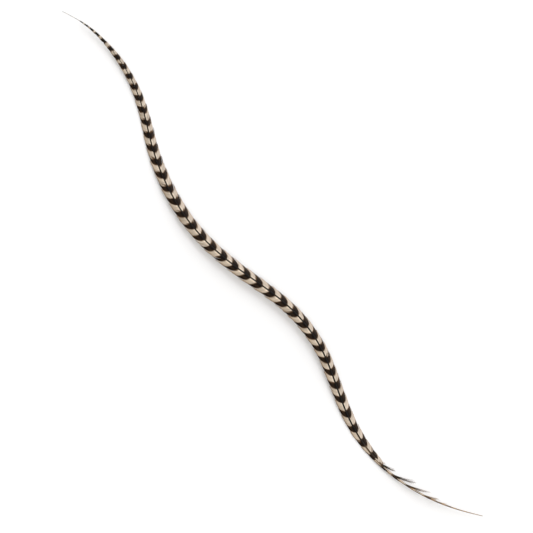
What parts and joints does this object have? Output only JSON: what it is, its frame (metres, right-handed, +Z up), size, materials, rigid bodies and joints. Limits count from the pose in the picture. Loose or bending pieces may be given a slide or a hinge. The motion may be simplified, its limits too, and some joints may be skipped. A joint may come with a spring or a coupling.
{
  "type": "rooster feather",
  "caption": "Slender barred rooster saddle hackle with an S-curved shaft, narrow vanes of overlapping barbs and short barbs stroked back at the quill end, lying flat.",
  "frame": {"origin": "on the surface that the feather lies on, below the middle of its box", "axes": "+X along the feather from the quill end to the tip, +Y to the left of that seen from above, +Z up"},
  "size_m": [0.2398, 0.024, 0.0035],
  "materials": {
    "keratin": "matt, barred pale cream and near-black brown"
  },
  "bodies": {
    "root": {"feather": "keratin"}
  },
  "joints": []
}
